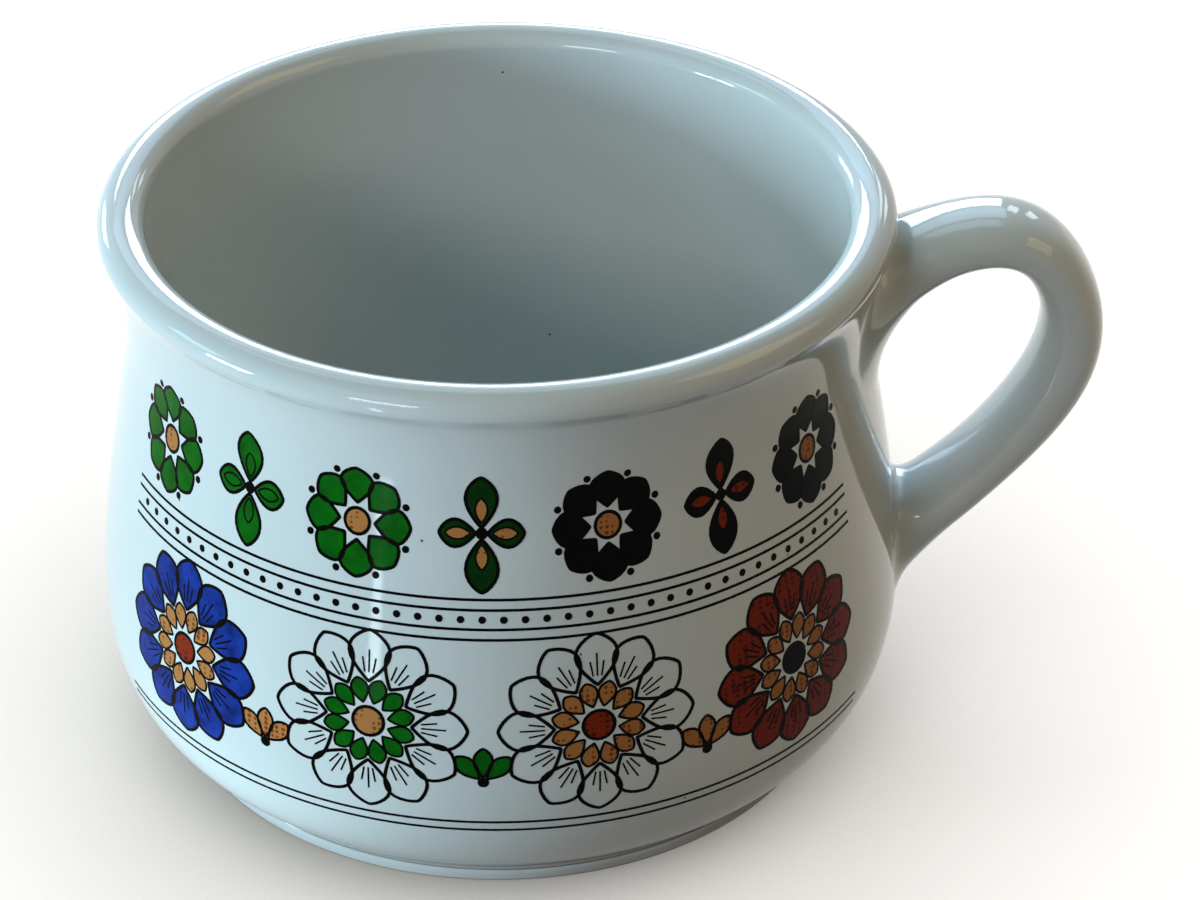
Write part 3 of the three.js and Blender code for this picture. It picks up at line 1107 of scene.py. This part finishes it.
def makePrint(body, inks):
    tree = wrapTree()
    parts = []
    for motif, colours, spots in printRows():
        where = meshObject("spots", [(x * mm, y * mm, 0) for x, y in spots], [])
        for (layer, shapes), ink in zip(motif().items(), [*colours, "black"]):
            if ink == "white":  # left as bare glaze
                continue
            film = filmMesh("film", shapes, f["films"][layer])
            carrier = meshObject("print_part", [], [])
            nodeModifier(carrier, tree, {
                "Motif": film,
                "Spots": where,
                "Bowl": body,
                "Axis": bowlX * mm,
                "Middle": math.radians(f["middle"]),
                "Radius": f["radius"] * mm,
                "Start": f["start"] * mm,
                "Ink": inks[ink],
            })
            parts.append((plainMesh(carrier, "print_part"), inks[ink]))
            bpy.data.objects.remove(film)
        bpy.data.objects.remove(where)
    work = bmesh.new()
    slots = []
    for mesh, ink in parts:
        if ink not in slots:
            slots.append(ink)
        before = len(work.faces)
        work.from_mesh(mesh)
        work.faces.ensure_lookup_table()
        for face in work.faces[before:]:
            face.material_index = slots.index(ink)
            face.smooth = True
        bpy.data.meshes.remove(mesh)
    for edge in work.edges:
        edge.smooth = edge.calc_face_angle(0) < math.radians(f["sharpEdge"])
    whole = bpy.data.meshes.new("printed_flowers")
    work.to_mesh(whole)
    work.free()
    for ink in slots:
        whole.materials.append(ink)
    piece = addObject("printed_flowers", whole)
    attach(piece, "root")
    return piece


# The stage: a pale table by a row of windows, under a white ceiling
stage = {
    "tableColour": "#857c72",
    "tableHalf": 3.0,  # metres
    "tableDrop": 0.05,  # mm
    "tableGlow": 1.03,  # brings the lit table to white where it is seen or mirrored
    "tableTint": "#fffdfa",
    "shadeReach": 0.08,  # metres from the mug over which that glow is shaded
    "roomColour": "#c4c8cc",
    "roomStrength": 0.02,
    "lampDistance": 2.0,  # metres
    "aimHeight": 0.05,
}
# turn round the mug in degrees (0 right, 90 towards the viewer, 180 left, 270 behind), rise in
# degrees, width and height in metres, the light it shows in a mirror, colour
windows = {
    "low_left_a": (159, 5, 0.22, 0.40, 58.0, "#c4eaff"),
    "low_left_b": (167, 5, 0.22, 0.40, 58.0, "#c4eaff"),
    "left": (180, 24, 0.60, 0.40, 6.2, "#b9f4ff"),
    "front": (120, 24, 0.60, 0.40, 10.6, "#fffcfc"),
    "high_front": (135, 52, 1.00, 0.70, 1.0, "#95f3ff"),
    "back": (266, 18, 1.05, 0.62, 13.4, "#cde8ff"),
    "back_soft": (264, 36, 1.30, 0.50, 3.0, "#b6deff"),
    "high_back": (262, 55, 1.10, 0.50, 2.2, "#c3e9ff"),
    "right": (0, 45, 1.20, 0.90, 2.1, "#ffdf9c"),
    "pane_a": (288, 25, 0.16, 0.26, 5.0, "#ddf6ff"),
    "pane_b": (297, 20, 0.16, 0.26, 5.0, "#ddf6ff"),
    "pane_c": (231, 11, 0.40, 0.34, 13.0, "#ceedff"),
}
# light that lies on the table before the mug, outside the picture: place in mm, turn in degrees,
# whether the glaze mirrors it, then as for a window
pools = {
    "patch": ((-72, -60, 1), 40, False, 0.045, 0.065, 1.4, "#c8f0ff"),
    "strip": ((-113, -184, 2), 58, True, 0.130, 0.009, 10.0, "#dff8ff"),
}


def addLamp(name, width, height, glow, colour):
    data = bpy.data.lights.new("light_" + name, "AREA")
    data.shape = "RECTANGLE"
    data.size, data.size_y = width, height
    data.color = linear(colour)[:3]
    data.energy = glow * math.pi * data.size * data.size_y
    return addObject("light_" + name, data)


def addWindow(name, turn, rise, *lamp):  # faces the mug
    turn, rise = math.radians(turn), math.radians(rise)
    level = math.cos(rise)
    away = Vector((math.cos(turn) * level, -math.sin(turn) * level, math.sin(rise)))
    place = away * stage["lampDistance"] + Vector((0, 0, stage["aimHeight"]))
    facing = (-away).to_track_quat("-Z", "Y").to_matrix().to_4x4()
    addLamp(name, *lamp).matrix_world = Matrix.Translation(place) @ facing


def addPool(name, place, turn, mirrored, *lamp):  # faces up from the table
    made = addLamp(name, *lamp)
    spun = Matrix.Rotation(math.radians(turn), 4, "Z")
    flipped = Matrix.Rotation(math.pi, 4, "X")
    made.matrix_world = Matrix.Translation(Vector(place) * mm) @ spun @ flipped
    made.visible_camera = False
    made.visible_glossy = mirrored


def seenWhite(tree):  # 1 for what the camera sees straight, mirrored or through glass, else 0
    path = addNode(tree, "ShaderNodeLightPath").outputs
    straight = addNode(tree, "ShaderNodeMath", {"operation": "MAXIMUM"}, {
        0: path["Is Camera Ray"], 1: path["Is Glossy Ray"],
    })
    return addNode(tree, "ShaderNodeMath", {"operation": "MAXIMUM"}, {
        0: straight, 1: path["Is Transmission Ray"],
    })


def makeStage():
    world = bpy.data.worlds.new("room")
    bpy.context.scene.world = world
    world.use_nodes = True
    tree = world.node_tree
    tree.nodes.clear()
    room = addNode(tree, "ShaderNodeBackground", None, {
        "Color": linear(stage["roomColour"]), "Strength": stage["roomStrength"],
    })
    white = addNode(tree, "ShaderNodeBackground", None, {"Color": (1, 1, 1, 1), "Strength": 1})
    mix = addNode(tree, "ShaderNodeMixShader", None, {0: seenWhite(tree), 1: room, 2: white})
    addNode(tree, "ShaderNodeOutputWorld", None, {"Surface": mix})
    half, drop = stage["tableHalf"], stage["tableDrop"] * mm
    corners = [(-half, -half), (half, -half), (half, half), (-half, half)]
    table = meshObject("table", [(x, y, -drop) for x, y in corners], [(0, 1, 2, 3)])
    material, tree = newMaterial("pale_table")
    diffuse = addNode(tree, "ShaderNodeBsdfDiffuse", None, {"Color": linear(stage["tableColour"])})
    shade = addNode(tree, "ShaderNodeAmbientOcclusion", {"samples": 8}, {
        "Color": linear(stage["tableTint"]), "Distance": stage["shadeReach"],
    })
    shown = addNode(tree, "ShaderNodeMath", {"operation": "MULTIPLY"}, {
        0: seenWhite(tree), 1: stage["tableGlow"],
    })
    glow = addNode(tree, "ShaderNodeEmission", None, {"Color": shade, "Strength": shown})
    both = addNode(tree, "ShaderNodeAddShader", None, {0: diffuse, 1: glow})
    clear = addNode(tree, "ShaderNodeBsdfTransparent")
    under = addNode(tree, "ShaderNodeNewGeometry").outputs["Backfacing"]
    oneSided = addNode(tree, "ShaderNodeMixShader", None, {0: under, 1: both, 2: clear})
    addNode(tree, "ShaderNodeOutputMaterial", None, {"Surface": oneSided})
    table.data.materials.append(material)
    for name, values in windows.items():
        addWindow(name, *values)
    for name, values in pools.items():
        addPool(name, *values)


print("camera")
makeCamera()
print("materials")
glazeMaterial = tinGlaze()
clayMaterial = bareStoneware()
inkMaterials = {key: enamel(*values) for key, values in enamels.items()}
print("bowl")
bowlPiece = makeBowl(glazeMaterial, clayMaterial)
print("handle")
makeHandle(glazeMaterial)
print("print")
printPiece = makePrint(bowlPiece, inkMaterials)
print("print triangles", sum(len(p.vertices) - 2 for p in printPiece.data.polygons))
print("stage")
makeStage()
bpy.context.scene.view_settings.view_transform = "Standard"
